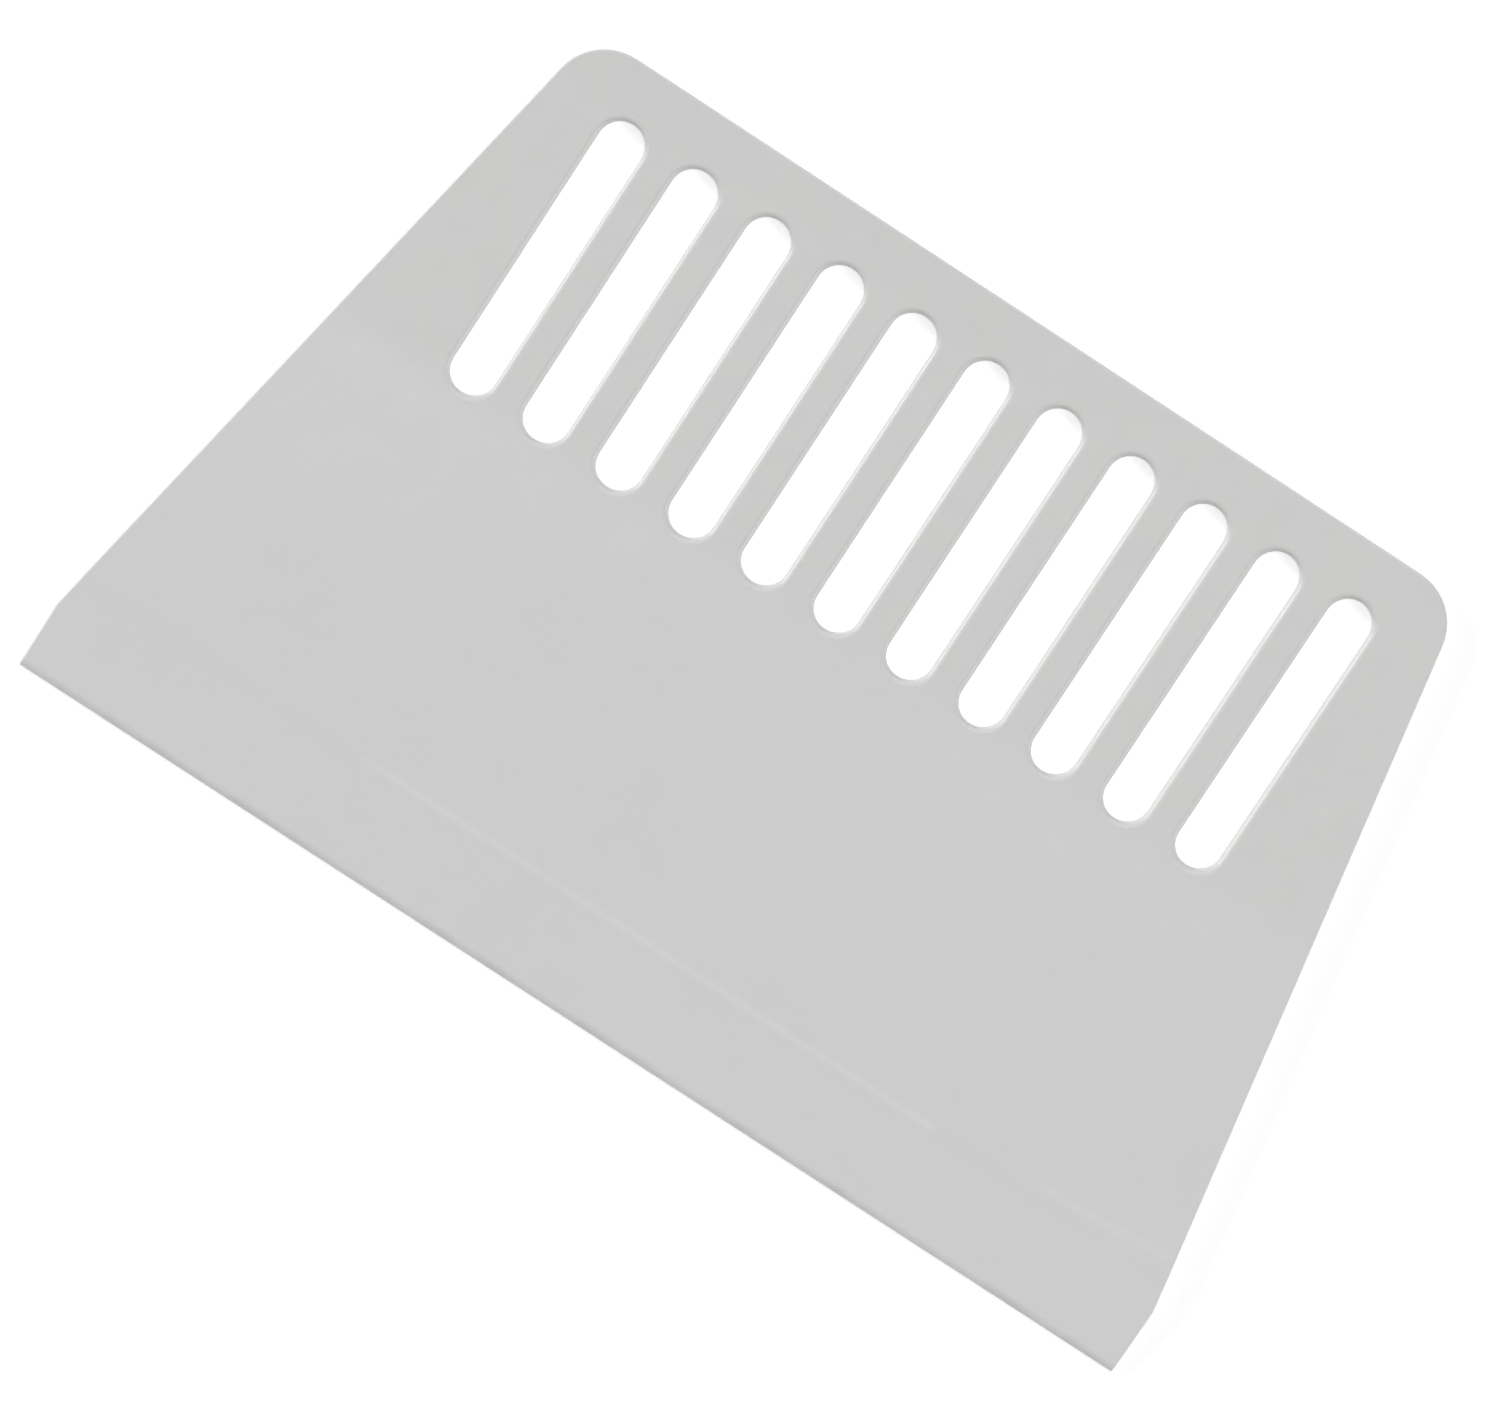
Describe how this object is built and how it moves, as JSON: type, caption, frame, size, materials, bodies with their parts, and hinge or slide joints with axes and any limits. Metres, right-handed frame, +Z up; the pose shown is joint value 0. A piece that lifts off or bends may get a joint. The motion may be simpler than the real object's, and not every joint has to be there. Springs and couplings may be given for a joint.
{
  "type": "icing smoother",
  "caption": "Flat tapered plastic plate with a thin bevelled working edge and a slotted grip, for smoothing icing.",
  "frame": {"origin": "middle of the underside's bounding rectangle; the plate lies face up on Z = 0", "axes": "+X along the working edge, +Y from the working edge to the grip, +Z up through the thickness"},
  "size_m": [0.28, 0.18, 0.004],
  "materials": {
    "grey_plastic": "pale grey moulded plastic, satin to matt, fine mould texture, slightly polished crease and edge"
  },
  "bodies": {
    "root": {"smoother_plate": "grey_plastic"}
  },
  "joints": []
}
